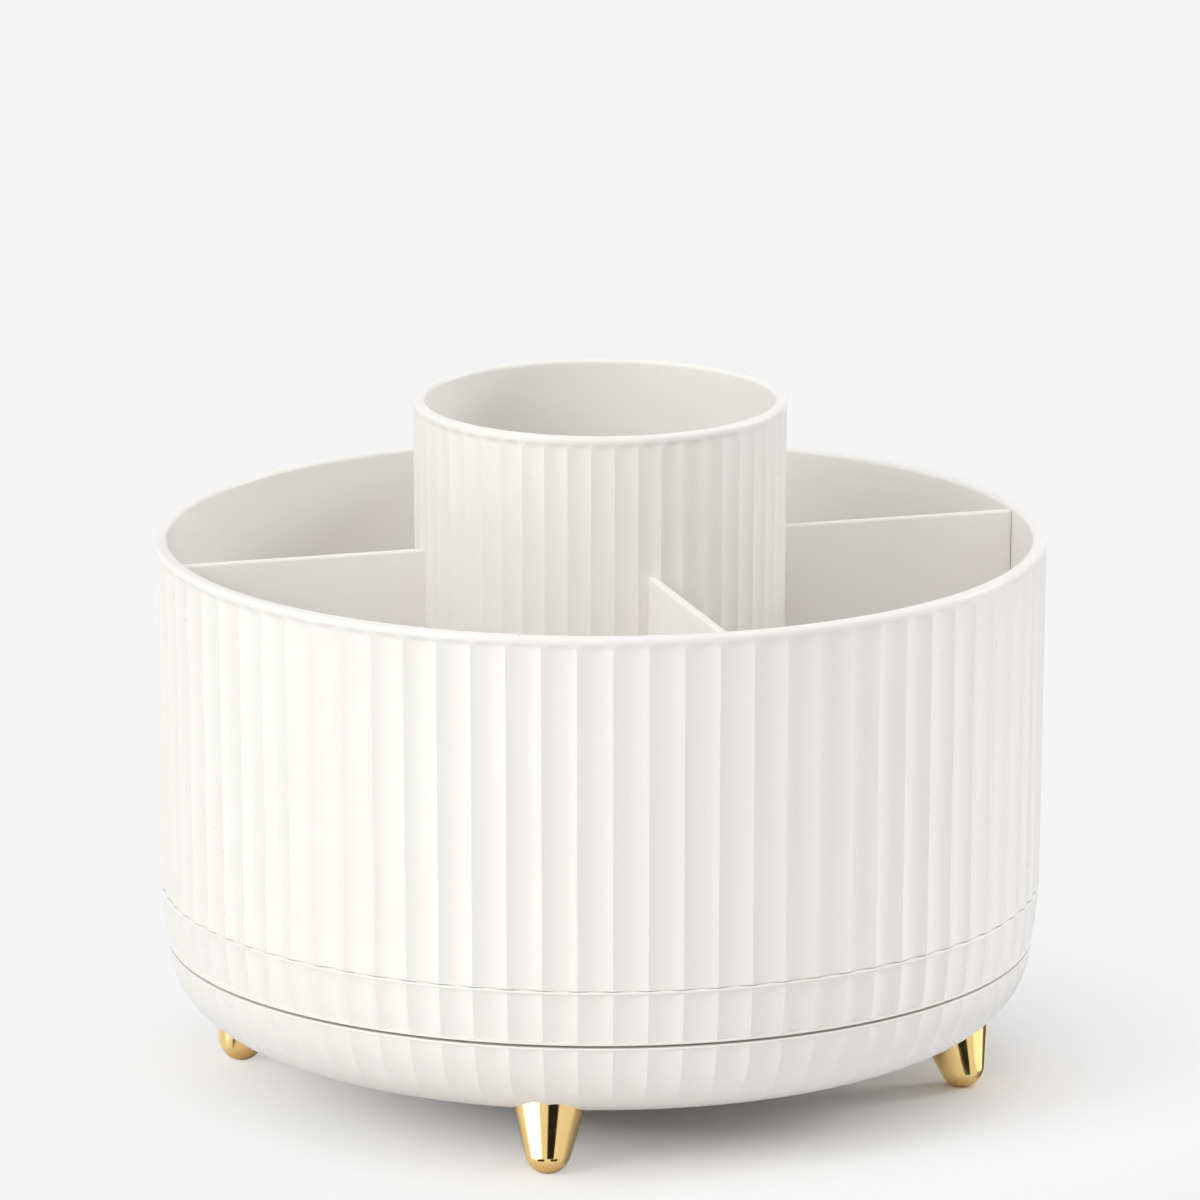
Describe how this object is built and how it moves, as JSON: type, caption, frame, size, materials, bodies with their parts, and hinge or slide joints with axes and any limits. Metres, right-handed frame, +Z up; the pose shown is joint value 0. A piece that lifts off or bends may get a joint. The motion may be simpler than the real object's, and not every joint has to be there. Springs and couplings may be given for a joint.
{
  "type": "rotating makeup organizer",
  "caption": "Round fluted desktop organizer that turns on a ball track: an open drum split by radial dividers round a taller centre cup, on a bowl-shaped base with splayed gold feet.",
  "frame": {"origin": "centre of the footprint on the table, on the turning axis", "axes": "+Z up along the turning axis, -Y towards the picture's viewer, +X to the viewer's right"},
  "size_m": [0.2, 0.2, 0.1563],
  "materials": {
    "white_abs": "satin gloss",
    "inner_abs": "matte",
    "acetal": "matte",
    "gold_plate": "polished",
    "zinc_steel": "zinc plated",
    "ball_steel": "polished"
  },
  "bodies": {
    "base": {"base_shell": "white_abs", "bearing_deck": "inner_abs", "deck_screws": "zinc_steel", "foot_front": "gold_plate", "foot_right": "gold_plate", "foot_rear": "gold_plate", "foot_left": "gold_plate", "foot_screws": "zinc_steel"},
    "cage": {"ball_cage": "acetal", "bearing_balls": "ball_steel"},
    "carousel": {"turntable": "white_abs", "drum": "white_abs", "brush_cup": "white_abs", "divider_front": "white_abs", "divider_right": "white_abs", "divider_rear": "white_abs", "divider_left": "white_abs", "drum_screws": "zinc_steel", "cup_screws": "zinc_steel", "pivot_washer": "zinc_steel", "pivot_screw": "zinc_steel"}
  },
  "joints": [
    {"name": "turntable_spin", "type": "hinge", "parent": "base", "child": "carousel", "pos_m": [0, 0, 0.0326], "axis": [0, 0, 1], "continuous": true},
    {"name": "cage_spin", "type": "hinge", "parent": "base", "child": "cage", "pos_m": [0, 0, 0.0326], "axis": [0, 0, 1], "continuous": true}
  ],
  "couplings": [
    {"joint": "cage_spin", "follows": "turntable_spin", "ratio": 0.5}
  ]
}
